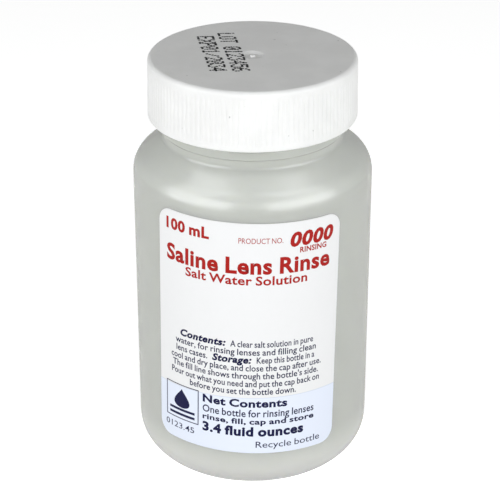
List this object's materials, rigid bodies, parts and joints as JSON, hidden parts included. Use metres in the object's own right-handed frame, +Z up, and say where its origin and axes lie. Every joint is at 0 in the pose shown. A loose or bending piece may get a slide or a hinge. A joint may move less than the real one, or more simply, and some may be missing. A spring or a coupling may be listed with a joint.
{
  "type": "contact lens solution bottle",
  "caption": "Short round wide-mouth bottle with a ribbed screw cap, a foil-sealed mouth and a wrap label on the front.",
  "frame": {"origin": "centre of the standing plane, under the bottle's axis", "axes": "+Z up the bottle's axis, -Y out of the middle of the front label, +X to the right seen from the front"},
  "size_m": [0.047, 0.0471, 0.0851],
  "materials": {
    "natural_polyethylene": "translucent milky high-density polyethylene, satin from the mould",
    "saline": "clear salt solution",
    "heat_seal_film": "thin clear polyethylene film",
    "aluminium_foil": "bright rolled foil",
    "pulp_board": "off-white pulp board",
    "white_polypropylene": "white moulded polypropylene, satin",
    "label_glue": "clear pressure-sensitive adhesive",
    "label_stock": "white coated paper with a pale blue band, red and navy print"
  },
  "bodies": {
    "bottle": {"bottle_shell": "natural_polyethylene", "saline_fill": "saline", "seal_film": "heat_seal_film", "foil_membrane": "aluminium_foil", "label_adhesive": "label_glue", "label_face": "label_stock"},
    "liner": {"liner_board": "pulp_board"},
    "cap": {"cap_shell": "white_polypropylene"}
  },
  "joints": [
    {"name": "cap_rise", "type": "slide", "parent": "bottle", "child": "liner", "axis": [0, 0, 1], "range_m": [0, 0.0127]},
    {"name": "cap_turn", "type": "hinge", "parent": "liner", "child": "cap", "pos_m": [0, 0, 0.079], "axis": [0, 0, 1], "range_deg": [0, 1080]}
  ],
  "couplings": [
    {"joint": "cap_rise", "follows": "cap_turn", "m_per_rad": 0.00067376}
  ]
}
